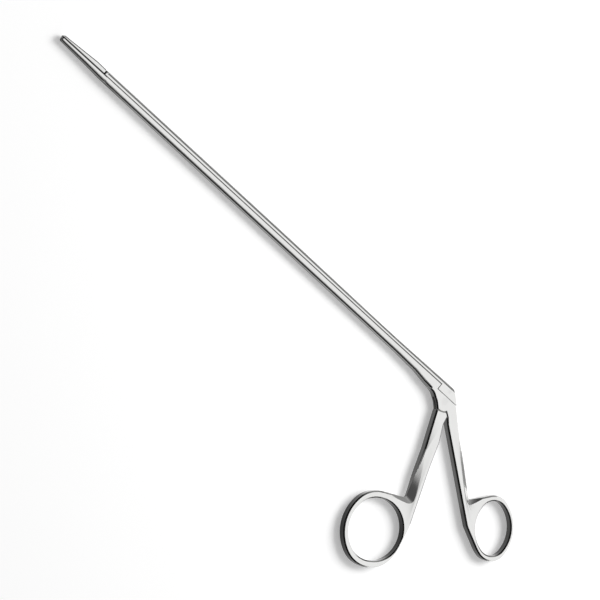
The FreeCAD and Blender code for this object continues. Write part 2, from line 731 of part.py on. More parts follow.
lever = newBody("FingerHandle", "finger_handle")
tipNose = polar(shoulder + 0.3, noseTurn)
shut = cell("closingGap")
fingerStops = [
    corner(*tipNose),
    corner(tipNose[0] + 7.5, tipNose[1] - 17.7),
    corner(*fingerCrook),
    fingerOval,
    corner(*fingerWeb),
    corner(fingerOval["x"] + 3.3, fingerOval["y"] + 38.85),
    corner(landX + 4.7, landY - 11.45),
    corner(landX + 0.6, landY - 3.6),
    corner(landX - shut, landY - shut * 0.4),
    {"kind": "arc", "radius": shoulder, "first": closedTurn + 360 - shut * 14, "last": noseTurn, "inward": True},
]
fingerSketch = newSketch(lever, "HandleOutline")
addOutline(fingerSketch, fingerStops)
pad(lever, "Handle", fingerSketch, thickness)
openingSketch = newSketch(lever, "RingOpening")
addOval(openingSketch, fingerOpening)
pocket(lever, "Opening", openingSketch, thickness * 2)
fillet(lever, "Crook", cell("crookRadius"), lambda edge: standing(edge, *fingerCrook))


def inFingerOpening(point):
    dx = point.x - fingerOval["x"].number
    dy = point.y - fingerOval["y"].number
    turn = math.radians(fingerOval["turn"].number)
    p = (dx * math.cos(turn) + dy * math.sin(turn)) / fingerOval["long"].number
    q = (dy * math.cos(turn) - dx * math.sin(turn)) / fingerOval["wide"].number
    return math.hypot(p, q) < 0.93


def fingerOuterRim(edge):
    point = flatMiddle(edge, halfThickness)
    if point is None or inFingerOpening(point):
        return False
    middle = fingerCrook[0].number * point.y / fingerCrook[1].number + 2
    if point.y > fingerWeb[1].number and point.x > middle:
        return False
    return math.hypot(point.x, point.y) > slotRadius.number + 1.2 and point.y < noseY.number - 1


def fingerInnerRim(edge):
    point = flatMiddle(edge, halfThickness)
    return point is not None and inFingerOpening(point)


chamfer(lever, "OpeningRim", cell("openingBevel"), fingerInnerRim)
chamfer(lever, "OuterRim", cell("rimBevel"), fingerOuterRim)


def fingerPlainEdge(edge):
    point = flatMiddle(edge, halfThickness)
    if point is None or edge.Length < 2 or point.y < fingerWeb[1].number:
        return False
    middle = fingerCrook[0].number * point.y / fingerCrook[1].number + 2
    return point.x > middle and point.y < landY.number - 0.5


fillet(lever, "PlainEdges", cell("edgeRadius"), fingerPlainEdge)

tongue = cell("tongueThickness")
neckSketch = newSketch(lever, "NeckOutline")
reach = shoulder + 0.3
addPolygon(neckSketch, [polar(cell("eyeRadius") - 0.3, noseTurn - 10), polar(reach, noseTurn + 5),
                        polar(reach + 1.2, noseTurn + 13), polar(reach + 1.4, size(290)),
                        polar(reach, size(308)), polar(cell("eyeRadius") - 0.3, size(330))])
pad(lever, "Neck", neckSketch, tongue)
eyeSketch = newSketch(lever, "EyeOutline")
addCircle(eyeSketch, zero, zero, cell("eyeRadius"))
pad(lever, "Eye", eyeSketch, tongue)
armSketch = newSketch(lever, "ArmOutline")
addStadium(armSketch, (zero, zero), (driveX, driveY), cell("armRadius"))
pad(lever, "Arm", armSketch, tongue)
bore = newSketch(lever, "MainHole")
addCircle(bore, zero, zero, cell("mainPinRadius") + cell("pinClearance"))
pocket(lever, "MainPinHole", bore, thickness * 2)
driveSketch = newSketch(lever, "DriveSlotOutline")
far = root(driveX * driveX + driveY * driveY)
stretch = (far + 0.03) / far
close = (driveY - 0.03) / far
addStadium(driveSketch, (driveX * close, driveY * close), (driveX * stretch, driveY * stretch),
           cell("drivePinRadius") + cell("pinClearance") + 0.02)
pocket(lever, "DriveSlot", driveSketch, thickness * 2)

# Slide: upper bar with a stepped, forked head and guide lugs below

slide = newBody("SlideBar", "slide_bar")
headFront = -cell("headFront")
headRear = cell("headRear")
waist = cell("slideWaist")
front = slideFrontX
slideStations = [
    (front, slideTop, halfDepth),
    (size(-107), slideTop, halfDepth),
    (size(-52), slideTop - waist, halfDepth),
    (size(-36), slideTop - waist, halfDepth),
    (size(-16), slideTop - waist * 0.4, halfDepth * 0.25 + halfThickness * 0.75),
    (headFront - 1, slideTop - waist * 0.1, halfThickness),
    (headRear + 0.5, slideTop, halfThickness),
]
sections = []
for place, (x, top, half) in enumerate(slideStations):
    sketch = newSketch(slide, "SlideSection%d" % place, "YZ_Plane", x)
    addBarSection(sketch, slideBottom, top, half, (top - slideBottom) * 0.8)
    sections.append(sketch)
loft(slide, "UpperBar", sections)
headOutline = newSketch(slide, "HeadOutline")
addPolygon(headOutline, [(headFront, headBottom), (headRear, headBottom),
                         (headRear, slideBottom + 0.4), (headFront, slideBottom + 0.4)])
pad(slide, "Head", headOutline, thickness)
slopeSketch = newSketch(slide, "SlopeOutline")
addPolygon(slopeSketch, [(headRear + 1, headBottom), (headRear + 1, slideTop + 1), (headRear - cell("headSlope") - 1, slideTop + 1),
                         (headRear - cell("headSlope"), slideTop), (headRear, headBottom)])
pocket(slide, "Slope", slopeSketch, thickness * 2)

eyeRadius = cell("eyeRadius")
armRadius = cell("armRadius")
rise = eyeRadius + 0.15
forkLeft = driveX - armRadius - 0.35
forkRight = driveX + armRadius + 0.35
forkSketch = newSketch(slide, "HeadFork")
addPolygon(forkSketch, [(-cell("slideTravel") - 2.65, headBottom - 1), (size(2.65), headBottom - 1),
                        (size(2.65), rise), (forkRight + 0.1, rise), (forkRight - 0.1, driveY),
                        (driveX + armRadius * 0.9, driveY + armRadius * 0.8), (driveX + 0.6, driveY + armRadius + 0.2),
                        (driveX - 0.6, driveY + armRadius + 0.2), (driveX - armRadius * 0.9, driveY + armRadius * 0.8),
                        (forkLeft - 0.05, driveY), (forkLeft - 0.15, rise), (-cell("slideTravel") - 2.65, rise)])
pocket(slide, "LeverFork", forkSketch, slotThickness)
driveHole = newSketch(slide, "DriveHole")
addCircle(driveHole, driveX, driveY, cell("drivePinRadius"))
pocket(slide, "DrivePinHole", driveHole, thickness * 2)

jawFork = newSketch(slide, "JawForkOutline")
addPolygon(jawFork, [(front - 1, split - 1), (jawX + 0.8, split - 1), (jawX + 0.8, slideTop + 1), (front - 1, slideTop + 1)])
pocket(slide, "JawFork", jawFork, jawSlotThickness)
linkHole = newSketch(slide, "LinkHole")
addCircle(linkHole, linkX, linkY, cell("linkPinRadius"))
pocket(slide, "LinkPinHole", linkHole, thickness * 2)
bevelSketch = newSketch(slide, "FrontBevel")
addPolygon(bevelSketch, [(front - 0.2, slideTop - 0.45), (front + 0.45, slideTop + 0.2), (front - 0.2, slideTop + 0.2)])
pocket(slide, "FrontCorner", bevelSketch, depth * 2)

neckSketch = newSketch(slide, "LugNeck")
addPolygon(neckSketch, [(lugStart, slideBottom + 0.3), (lugStart, neckBottom - 0.1),
                        (lugEnd, neckBottom - 0.1), (lugEnd, slideBottom + 0.3)])
neckPad = pad(slide, "Neck", neckSketch, cell("neckWidth"))
lugSketch = newSketch(slide, "LugHead")
addPolygon(lugSketch, [(lugStart, neckBottom), (lugStart, lugBottom), (lugEnd, lugBottom), (lugEnd, neckBottom)])
lugPad = pad(slide, "Lug", lugSketch, cell("lugWidth"))
repeat(slide, "Lugs", [neckPad, lugPad], cell("lugSpacing"), lugCount)

# Upper jaw with its tongue

jaw = newBody("UpperJaw", "upper_jaw")
biteY = barTop + 0.13
jawTop = split + cell("jawHeight")
tipTop = split + cell("jawTipHeight")
humpX = jawRearX - 5.6
sideSketch = newSketch(jaw, "JawSide")
addPolygon(sideSketch, [(jawRearX, biteY), (jawRearX, jawTop - 0.05), (humpX, jawTop + 0.1), (tipX, tipTop), (tipX, biteY)])
pad(jaw, "JawBar", sideSketch, depth)
taperSketch = newSketch(jaw, "Taper", "XZ_Plane")
tipHalf = cell("tipDepth") / 2
for side in (1, -1):
    addPolygon(taperSketch, [(jawRearX, side * halfDepth), (tipX, side * tipHalf), (tipX - 1, side * tipHalf),
                             (tipX - 1, side * (halfDepth + 1)), (jawRearX, side * (halfDepth + 1))])
pocket(jaw, "SideTaper", taperSketch, thickness * 4)
fillet(jaw, "JawBack", cell("jawBackRadius"), lambda edge: edge.BoundBox.XLength > 2
       and edge.BoundBox.YMin > tipTop.number - 0.1 and edge.BoundBox.ZMax * edge.BoundBox.ZMin > 0)
cornerSketch = newSketch(jaw, "Corners")
addPolygon(cornerSketch, [(jawRearX - 0.45, jawTop + 0.1), (jawRearX + 0.1, jawTop - 0.45), (jawRearX + 0.1, jawTop + 0.1)])
addPolygon(cornerSketch, [(tipX - 0.1, tipTop - 0.5), (tipX + 0.6, tipTop + 0.2), (tipX - 0.1, tipTop + 0.2)])
pocket(jaw, "EndBevels", cornerSketch, depth * 2)
jawTongue = cell("jawTongueThickness")
pinEye = newSketch(jaw, "PinEye")
addCircle(pinEye, jawX, jawY, eye)
pad(jaw, "PivotEye", pinEye, jawTongue)
linkEye = cell("linkPinRadius") + 0.5
linkSketch = newSketch(jaw, "LinkEye")
addCircle(linkSketch, linkX, linkY, linkEye)
pad(jaw, "LinkEyePad", linkSketch, jawTongue)
webSketch = newSketch(jaw, "Web")
addPolygon(webSketch, [(jawRearX - 0.5, biteY + 0.17), (jawX - eye * 0.88, jawY - eye * 0.36),
                       (jawX + eye * 0.88, jawY + eye * 0.3), (linkX + linkEye * 0.77, linkY + linkEye * 0.42),
                       (linkX, linkY + linkEye * 0.95), (jawRearX - 0.5, linkY + 0.6)])
pad(jaw, "WebPad", webSketch, jawTongue)
pinSketch = newSketch(jaw, "PinHole")
addCircle(pinSketch, jawX, jawY, cell("jawPinRadius") + cell("pinClearance"))
pocket(jaw, "PivotHole", pinSketch, thickness)
linkSlot = newSketch(jaw, "LinkSlotOutline")
away = root((linkX - jawX) * (linkX - jawX) + cell("linkRise") * cell("linkRise"))
nearEnd = (cell("linkRise") - 0.03) / away
farEnd = (away + 0.03) / away
addStadium(linkSlot, (jawX + (linkX - jawX) * nearEnd, jawY + cell("linkRise") * nearEnd),
           (jawX + (linkX - jawX) * farEnd, jawY + cell("linkRise") * farEnd),
           cell("linkPinRadius") + cell("pinClearance") + 0.02)
pocket(jaw, "LinkSlot", linkSlot, thickness)
toothSketch = newSketch(jaw, "Tooth")
addPolygon(toothSketch, [(teethStartX, biteY + 0.1), (teethStartX, biteY), (teethStartX - pitch / 2, biteY - cell("toothDepth")),
                         (teethStartX - pitch, biteY), (teethStartX - pitch, biteY + 0.1)])
tooth = pad(jaw, "ToothRidge", toothSketch, cell("tipDepth"))
repeat(jaw, "UpperTeeth", tooth, pitch, toothCount)

# Pins, each flush with the sides of the piece that holds it


def pin(name, label, x, y, radius, length):
    body = newBody(name, label)
    sketch = newSketch(body, "Outline")
    addCircle(sketch, x, y, radius)
    pad(body, "Shank", sketch, length)
    return body


mainPin = pin("MainPivotPin", "main_pivot_pin", zero, zero, cell("mainPinRadius"), thickness)
drivePin = pin("DrivePin", "drive_pin", driveX, driveY, cell("drivePinRadius"), thickness)
jawPin = pin("JawPivotPin", "jaw_pivot_pin", jawX, jawY, cell("jawPinRadius"), depth)
linkPin = pin("JawLinkPin", "jaw_link_pin", linkX, linkY, cell("linkPinRadius"), depth - 0.9)

# Checks, then one file for each piece

doc.recompute()
for item in doc.Objects:
    if "Invalid" in item.State or "Error" in item.State:
        raise ValueError("%s did not build: %s" % (item.Name, item.State))
bodies = [item for item in doc.Objects if item.TypeId == "PartDesign::Body"]
for body in bodies:
    shape = body.Shape
    if shape.isNull() or not shape.isValid() or len(shape.Solids) != 1:
        raise ValueError("%s is not one sound solid" % body.Label)
for body in bodies:
    body.Shape.exportStep("parts/%s.step" % body.Label)
    print(body.Label, round(body.Shape.Volume, 2))
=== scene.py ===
import math

import bmesh
import bpy
import numpy as np
from mathutils import Matrix, Vector


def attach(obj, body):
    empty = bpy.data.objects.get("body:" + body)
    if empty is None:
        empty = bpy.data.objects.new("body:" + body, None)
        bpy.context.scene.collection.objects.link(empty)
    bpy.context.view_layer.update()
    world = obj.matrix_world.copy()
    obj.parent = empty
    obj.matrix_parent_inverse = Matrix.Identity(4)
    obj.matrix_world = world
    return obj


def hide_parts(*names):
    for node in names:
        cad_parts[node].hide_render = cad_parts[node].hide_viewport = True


# Alligator forceps of satin steel on a white ground. All lengths are metres in the model's own
# frame: X runs along the shaft towards the handles, Z is the thickness, and the part lies on z = 0.

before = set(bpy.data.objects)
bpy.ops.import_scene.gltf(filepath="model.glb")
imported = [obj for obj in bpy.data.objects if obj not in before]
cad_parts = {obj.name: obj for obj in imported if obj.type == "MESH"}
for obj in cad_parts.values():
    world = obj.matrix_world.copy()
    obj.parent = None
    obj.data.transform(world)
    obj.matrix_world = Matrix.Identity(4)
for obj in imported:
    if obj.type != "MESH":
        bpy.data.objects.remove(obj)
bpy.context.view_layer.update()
print("frame loaded:", len(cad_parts), "nodes")


# Shader maths as expressions: a Value wraps one output socket


class Value:
    # wraps an output socket; each operator adds one math node and returns its result
    def __init__(self, shader, socket):
        self.shader = shader
        self.socket = socket

    def math(self, operation, *others):
        inputs = {index: value for index, value in enumerate((self,) + others)}
        return self.shader.node("ShaderNodeMath", {"operation": operation}, inputs)[0]

    def __add__(self, other):
        return self.math("ADD", other)

    def __sub__(self, other):
        return self.math("SUBTRACT", other)

    def __mul__(self, other):
        return self.math("MULTIPLY", other)

    def __rsub__(self, other):
        return (self * -1) + other

    __radd__ = __add__
    __rmul__ = __mul__

    def size(self):
        return self.math("ABSOLUTE")

    def ramp(self, low, high, start=0.0, end=1.0):
        # smooth step from start to end while the value goes from low to high
        inputs = {0: self, 1: low, 2: high, 3: start, 4: end}
        return self.shader.node("ShaderNodeMapRange", {"interpolation_type": "SMOOTHSTEP"}, inputs)[0]


class Shader:
    def __init__(self, tree):
        self.tree = tree
        tree.nodes.clear()

    def node(self, kind, settings=None, inputs=None):
        # adds a node: its settings first, then a value or a link for each input; returns its outputs
        made = self.tree.nodes.new(kind)
        for name, setting in (settings or {}).items():
            setattr(made, name, setting)
        for name, value in (inputs or {}).items():
            if isinstance(value, Value):
                self.tree.links.new(value.socket, made.inputs[name])
            else:
                made.inputs[name].default_value = value
        return Outputs(self, made)


class Outputs:
    def __init__(self, shader, made):
        self.shader = shader
        self.made = made

    def __getitem__(self, name):
        return Value(self.shader, self.made.outputs[name])


# Materials

steelLook = {
    "colour": (0.80, 0.80, 0.79, 1),
    "faceRoughness": 0.30,      # satin on the flat ground faces
    "edgeRoughness": 0.12,      # brighter polish on roundings and walls
    "faceNormal": (0.90, 0.99), # |normal z| at which the polish turns to satin
    "wallTone": 0.24,           # painted shade: the side walls mirror the dark room, so their colour is made darker than the ground faces
    "wallNormal": (0.25, 0.97), # |normal z| at which the wall ends and the face begins
    "wallTop": (0.0036, 0.0048, 0.25),   # heights between which the painted wall shade darkens towards the face, its tone there
    "wallFoot": (0.0006, 0.0016, 0.40),  # heights between which the painted wall shade lightens from the foot, its tone there
    "lightTone": 0.7,           # lighter painted shade on the walls turned the other way
    "darkSide": (-0.75, -0.66), # X, Y heading of the walls with the deeper painted shade
    "darkTurn": (0.0, 0.6),     # part of the normal along that heading at which the deeper painted shade begins and is full
    "seamTone": 0.04,           # painted shade line in the gap where two bars meet
    "seamCore": 0.3,            # share of the line's width that is fully dark
    "ridgeNormal": ((0.15, 0.5), (0.1, 0.4)), # normal y and z of the upper edge of slide and jaw, where shade is painted
    "grainLength": 90,          # noise cells per metre along the grain
    "grainWidth": 2600,         # and across it
    "grainDepth": 0.00002,
    "grainShade": 0.05,         # how much the grain changes the tone, and the roughness
    "grainRoughness": 0.10,
    "cloudScale": 55.0,         # slow change of tone and roughness over a face
    "cloudShade": 0.05,
    "cloudRoughness": 0.06,
}


def brushedNoise(shader, coordinates, grainHeading):
    # streaks = noise of (along * grainLength, across * grainWidth), where along and across are Object
    # coordinates turned by grainHeading; cloud = noise of Object coordinates * cloudScale
    cell = (1 / steelLook["grainLength"], 1 / steelLook["grainWidth"], 1 / steelLook["grainWidth"])
    turned = shader.node("ShaderNodeMapping", {"vector_type": "TEXTURE"},
                         {"Vector": coordinates["Object"], "Scale": cell,
                          "Rotation": (0, 0, math.radians(grainHeading))})
    streaks = shader.node("ShaderNodeTexNoise", {"noise_dimensions": "3D"},
                          {"Vector": turned["Vector"], "Scale": 1.0, "Detail": 3.0, "Roughness": 0.6})["Fac"]
    cloud = shader.node("ShaderNodeTexNoise", {"noise_dimensions": "3D"},
                        {"Vector": coordinates["Object"], "Scale": steelLook["cloudScale"],
                         "Detail": 2.0, "Roughness": 0.5})["Fac"]
    return streaks, cloud


def wallShade(facing, place, dark):
    # painted shade of the walls: a tone * smooth steps of the height at top and foot * smooth step of the
    # distance to each round zone, for walls turned to the shaded side; a lighter painted shade for the others
    look = steelLook
    low, high, tone = look["wallTop"]
    wall = place["Z"].ramp(low, high, 1.0, tone)
    low, high, tone = look["wallFoot"]
    wall = wall * place["Z"].ramp(low, high, tone, 1.0) * look["wallTone"]
    for x, y, near, far, darker in dark:
        away = (place["X"] - x) * (place["X"] - x) + (place["Y"] - y) * (place["Y"] - y)
        wall = wall * away.ramp(near * near, far * far, darker, 1.0)
    left = facing["X"] * look["darkSide"][0] + facing["Y"] * look["darkSide"][1]
    return (wall - look["lightTone"]) * left.ramp(*look["darkTurn"]) + look["lightTone"]


def makeSteel(name, grainHeading, tone=1.0, faceRoughness=None, seams=(), bands=(), dark=(),
              ridgeShadeTone=1.0):
    # brushed steel: roughness = edge or face by |normal z|, plus grain and cloud; tone = grain, cloud,
    # painted wall shade by |normal z|, then painted shade lines at seams and bands, then painted shade on the
    # upper edge
    look = steelLook
    faceRoughness = faceRoughness or look["faceRoughness"]
    material = bpy.data.materials.new(name)
    material.use_nodes = True
    shader = Shader(material.node_tree)
    coordinates = shader.node("ShaderNodeTexCoord")
    streaks, cloud = brushedNoise(shader, coordinates, grainHeading)
    facing = shader.node("ShaderNodeSeparateXYZ", None, {"Vector": coordinates["Normal"]})
    place = shader.node("ShaderNodeSeparateXYZ", None, {"Vector": coordinates["Object"]})
    flatness = facing["Z"].size()

    rough = look["edgeRoughness"] + flatness.ramp(*look["faceNormal"]) * (faceRoughness - look["edgeRoughness"])
    rough = rough + (streaks - 0.5) * look["grainRoughness"] + (cloud - 0.5) * look["cloudRoughness"]

    shade = (streaks - 0.5) * look["grainShade"] + (cloud - 0.5) * look["cloudShade"] + tone
    # painted shade on the walls, deeper on the side turned to the dark room
    wall = wallShade(facing, place, dark)
    shade = shade * (wall + flatness.ramp(*look["wallNormal"]) * (1 - wall))
    # painted shade lines in the gaps at the seams and across the notch
    for xEnd, y, width in seams:
        clear = (place["Y"] - y).size().ramp(look["seamCore"] * width, width, look["seamTone"], 1.0)
        ahead = place["X"].ramp(xEnd - 0.0001, xEnd)
        shade = shade * (1 - (1 - clear) * (1 - ahead))
    for x, width in bands:
        shade = shade * (place["X"] - x).size().ramp(look["seamCore"] * width, width, look["seamTone"], 1.0)
    # painted shade on the upper edge of slide and jaw
    if ridgeShadeTone < 1:
        sideways, upwards = look["ridgeNormal"]
        ridge = facing["Y"].ramp(*sideways) * facing["Z"].ramp(*upwards)
        shade = shade * (1 - ridge * (1 - ridgeShadeTone))

    grey = shader.node("ShaderNodeCombineColor", None, {"Red": shade, "Green": shade, "Blue": shade})["Color"]
    colour = shader.node("ShaderNodeMix", {"data_type": "RGBA", "blend_type": "MULTIPLY"},
                         {0: 1.0, 6: look["colour"], 7: grey})[2]
    bump = shader.node("ShaderNodeBump", None,
                       {"Strength": 0.25, "Distance": look["grainDepth"], "Height": streaks})["Normal"]
    finish = shader.node("ShaderNodeBsdfPrincipled", None,
                         {"Base Color": colour, "Metallic": 1.0, "Roughness": rough, "Normal": bump})
    shader.node("ShaderNodeOutputMaterial", None, {"Surface": finish["BSDF"]})
    return material


# where shade is painted on the steel: a seam's gap line is (x end, y, width), a band across a gap (x, width),
# and a round zone of deeper painted wall shade (x, y, inner radius, outer radius, tone)
barSeam = (-0.0065, 0.0053, 0.00036)
jawSeam = (-0.2345, 0.0053, 0.00060)
notch = (-0.2365, 0.00060)
# painted shade zones on the walls under the tip and round both loops
tipUnderside = (-0.264, 0.004, 0.034, 0.050, 0.05)
fingerLoop = (0.0121, -0.0688, 0.0195, 0.023, 0.05)
thumbLoop = (0.0592, -0.0296, 0.0165, 0.0195, 0.45)

steelByNode = {
    "fixed_frame": makeSteel("SteelFrame", 0, seams=[barSeam, jawSeam], dark=[tipUnderside, thumbLoop]),
    "slide_bar": makeSteel("SteelSlide", 0, tone=1.01, seams=[barSeam], bands=[notch], ridgeShadeTone=0.45),
    "upper_jaw": makeSteel("SteelJaw", 0, tone=0.98, seams=[jawSeam], bands=[notch],
                           dark=[tipUnderside], ridgeShadeTone=0.05),
    "finger_handle": makeSteel("SteelHandle", -68, tone=1.0, dark=[fingerLoop]),
    "main_pivot_pin": makeSteel("SteelMainPin", 20, tone=0.99, faceRoughness=0.34),
    "drive_pin": makeSteel("SteelDrivePin", 50, tone=0.98, faceRoughness=0.34),
    "jaw_pivot_pin": makeSteel("SteelJawPin", 70, tone=0.98, faceRoughness=0.34),
    "jaw_link_pin": makeSteel("SteelLinkPin", 110, tone=0.98, faceRoughness=0.34),
}
for name, material in steelByNode.items():
    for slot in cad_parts[name].material_slots:
        slot.material = material
print("materials:", len(steelByNode))

# Handles: the forged dishes at the two crooks and the wider finger opening are cut into copies.
# Lengths are millimetres: face and rim are the dish's border on the flat face and along the outline

fingerCuts = {
    "node": "finger_handle",
    "face": [(8.25, -24.0), (9.6, -26.2), (11.7, -29.8), (13.5, -33.0), (15.2, -36.3), (16.6, -39.2),
             (17.9, -42.0), (18.9, -44.6), (19.3, -46.4), (18.7, -47.7), (16.9, -48.8), (13.4, -49.9),
             (9.8, -50.8), (6.6, -51.5)],
    "rim": [(6.0, -23.6), (6.6, -25.4), (7.9, -29.0), (9.1, -32.2), (10.2, -35.4), (11.2, -38.2),
            (12.2, -41.0), (13.0, -43.4), (13.4, -45.2), (13.3, -46.0), (12.7, -46.6), (10.6, -47.7),
            (8.2, -48.8), (5.6, -50.1)],
    "depth": [0.0, 0.15, 0.4, 0.7, 1.0, 1.35, 1.8, 2.25, 2.5, 2.5, 2.4, 1.8, 0.9, 0.1],
    "opening": {"x": 12.95, "y": -68.36, "long": 15.0, "wide": 13.95, "turn": -62.0, "bevel": 0.6},
}
thumbCuts = {
    "node": "fixed_frame",
    "face": [(16.6, -8.2), (19.5, -11.1), (22.85, -14.2), (26.5, -17.4), (30.3, -20.6), (34.0, -23.8),
             (38.1, -27.1), (40.8, -28.7), (42.5, -28.9), (44.1, -26.3), (45.6, -22.9), (47.0, -20.4),
             (49.0, -18.3)],
    "rim": [(17.6, -6.8), (20.5, -9.1), (23.8, -11.8), (27.4, -14.7), (31.2, -17.8), (34.8, -20.7),
            (38.4, -23.6), (40.2, -25.1), (40.9, -25.2), (42.2, -24.2), (44.0, -22.0), (45.6, -20.1),
            (47.6, -17.7)],
    "depth": [0.0, 0.35, 0.7, 1.0, 1.35, 1.7, 2.1, 2.5, 2.6, 2.4, 1.7, 0.9, 0.1],
}
cutting = {
    "steps": 10,                # across a dish
    "refine": 4,                # steps between two given points along it
    "thickness": 5.6,           # of the handles
    "clear": 1.4,               # how far the opening's cutter stands past both faces
    "above": 7.5,               # height of the dish cutter's lid
    "start": 0.003,             # the dish cutter begins this far above the face
    "hollow": 0.15,             # 0 gives a flat slope, 1 a round hollow
    "ringSteps": 96,
    "sharpAngle": 24,           # degrees at which an edge stays sharp
}


def smoothRow(values, refine):
    # points between the given ones: between b and c, with a before and d after, half of
    # 2b + (c - a) t + (2a - 5b + 4c - d) t^2 + (3b - a - 3c + d) t^3
    values = np.asarray(values, float)
    padded = np.concatenate([2 * values[:1] - values[1:2], values, 2 * values[-1:] - values[-2:-1]])
    t = np.linspace(0, 1, refine, endpoint=False).reshape((-1,) + (1,) * (values.ndim - 1))
    parts = []
    for a, b, c, d in zip(padded, padded[1:], padded[2:], padded[3:]):
        square, cube = 2 * a - 5 * b + 4 * c - d, 3 * b - a - 3 * c + d
        parts.append(0.5 * (2 * b + (c - a) * t + square * t ** 2 + cube * t ** 3))
    return np.concatenate(parts + [values[-1:]])


def quads(a, b, c, d):
    # one row of four point numbers for each place in the four arrays
    return np.stack([a.ravel(), b.ravel(), c.ravel(), d.ravel()], axis=1)


def shellFromGrid(name, lower, upper):
    # closed shell between two grids of points with the same shape, in millimetres: the lower grid,
    # the upper one turned over, and quads between their borders
    rows, columns = lower.shape[:2]
    count = rows * columns
    points = np.concatenate([lower.reshape(-1, 3), upper.reshape(-1, 3)]) * 0.001
    index = np.arange(count).reshape(rows, columns)
    top = index + count
    faces = [quads(index[:-1, :-1], index[:-1, 1:], index[1:, 1:], index[1:, :-1]),
             quads(top[:-1, :-1], top[1:, :-1], top[1:, 1:], top[:-1, 1:])]
    loop = np.concatenate([index[0, :], index[1:, -1], index[-1, -2::-1], index[-2:0:-1, 0]])
    after = np.roll(loop, -1)
    faces.append(quads(loop, loop + count, after + count, after))
    mesh = bpy.data.meshes.new(name)
    mesh.from_pydata(points.tolist(), [], np.concatenate(faces).tolist())
    return mesh


def dishMesh(name, cuts, side):
    # cutter below height(s, u) = thickness - depth(s) * (1 - hollow * (1 - u)^2 - (1 - hollow) * (1 - u)),
    # from the border on the face (u = 0) to the rim (u = 1); on side -1 mirrored in the middle plane
    thickness, hollow = cutting["thickness"], cutting["hollow"]
    face = smoothRow(cuts["face"], cutting["refine"])
    rim = smoothRow(cuts["rim"], cutting["refine"])
    depth = smoothRow(np.array(cuts["depth"])[:, None], cutting["refine"])
    u = np.linspace(0, 1, cutting["steps"] + 1)[None, :, None]
    flat = face[:, None, :] * (1 - u) + rim[:, None, :] * u
    fall = 1 - (1 - u) ** 2 * hollow - (1 - u) * (1 - hollow)
    height = thickness + cutting["start"] - depth[:, None, :] * fall
    lower = np.concatenate([flat, height], axis=2)
    upper = np.concatenate([flat, np.full(height.shape, cutting["above"])], axis=2)
    if side < 0:
        lower[..., 2] = thickness - lower[..., 2]
        upper[..., 2] = thickness - upper[..., 2]
    return shellFromGrid(name, lower, upper)


def openingMesh(name, opening):
    # spool: ovals (long * cos t, wide * sin t) turned by turn, at four heights; the two outside the
    # faces are wider by the bevel and by as much as they stand clear
    bevel, clear, steps = opening["bevel"], cutting["clear"], cutting["ringSteps"]
    t = np.linspace(0, 2 * math.pi, steps, endpoint=False)
    heights = np.array([-clear, bevel, cutting["thickness"] - bevel, cutting["thickness"] + clear])
    swell = np.array([bevel + clear, 0.0, 0.0, bevel + clear])
    turn = math.radians(opening["turn"])
    p = (opening["long"] + swell[:, None]) * np.cos(t)
    q = (opening["wide"] + swell[:, None]) * np.sin(t)
    x = opening["x"] + p * math.cos(turn) - q * math.sin(turn)
    y = opening["y"] + p * math.sin(turn) + q * math.cos(turn)
    points = np.stack([x, y, np.broadcast_to(heights[:, None], x.shape)], axis=2).reshape(-1, 3) * 0.001
    index = np.arange(len(heights) * steps).reshape(-1, steps)
    after = np.roll(index, -1, axis=1)
    sides = quads(index[:-1], after[:-1], after[1:], index[1:]).tolist()
    mesh = bpy.data.meshes.new(name)
    mesh.from_pydata(points.tolist(), [], sides + [index[0][::-1].tolist(), index[-1].tolist()])
    return mesh


def takeAway(piece, cutter, number):
    # piece = piece less cutter, with the cutter's faces turned outwards first
    closed = bmesh.new()
    closed.from_mesh(cutter)
    bmesh.ops.recalc_face_normals(closed, faces=closed.faces)
    closed.to_mesh(cutter)
    closed.free()
    tool = bpy.data.objects.new("Cutter%d" % number, cutter)
    bpy.context.scene.collection.objects.link(tool)
    cut = piece.modifiers.new("Cut%d" % number, "BOOLEAN")
    cut.operation = "DIFFERENCE"
    cut.solver = "EXACT"
    cut.object = tool
    bpy.context.view_layer.update()
    made = piece.evaluated_get(bpy.context.evaluated_depsgraph_get())
    result = bpy.data.meshes.new_from_object(made)
    piece.modifiers.clear()
    piece.data = result
    bpy.data.objects.remove(tool)


def cutHandle(pieceName, cuts, body):
    # copy of the node, merged and with its flat triangles joined, less the cutters
    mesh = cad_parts[cuts["node"]].data.copy()
    mesh.name = pieceName
    joined = bmesh.new()
    joined.from_mesh(mesh)
    bmesh.ops.remove_doubles(joined, verts=joined.verts, dist=1e-6)
    bmesh.ops.dissolve_limit(joined, angle_limit=math.radians(0.2), verts=joined.verts, edges=joined.edges)
    joined.to_mesh(mesh)
    joined.free()
    piece = bpy.data.objects.new(pieceName, mesh)
    bpy.context.scene.collection.objects.link(piece)
    cutters = [dishMesh(pieceName + "Dish", cuts, side) for side in (1, -1)]
    if "opening" in cuts:
        cutters.append(openingMesh(pieceName + "Hole", cuts["opening"]))
    for number, cutter in enumerate(cutters):
        takeAway(piece, cutter, number)
    mesh = piece.data
    mesh.materials.clear()
    mesh.materials.append(steelByNode[cuts["node"]])
    mesh.polygons.foreach_set("use_smooth", np.ones(len(mesh.polygons), bool))
    mesh.set_sharp_from_angle(angle=math.radians(cutting["sharpAngle"]))
    mesh.update()
    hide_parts(cuts["node"])
    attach(piece, body)
    return piece


for pieceName, cuts, body in (("FingerHandleForged", fingerCuts, "handle"),
                              ("FrameForged", thumbCuts, "frame")):
    piece = cutHandle(pieceName, cuts, body)
    print(pieceName, len(piece.data.polygons), "faces")

# Camera: tilted off the plate's normal, so that the walls on the left of the picture show

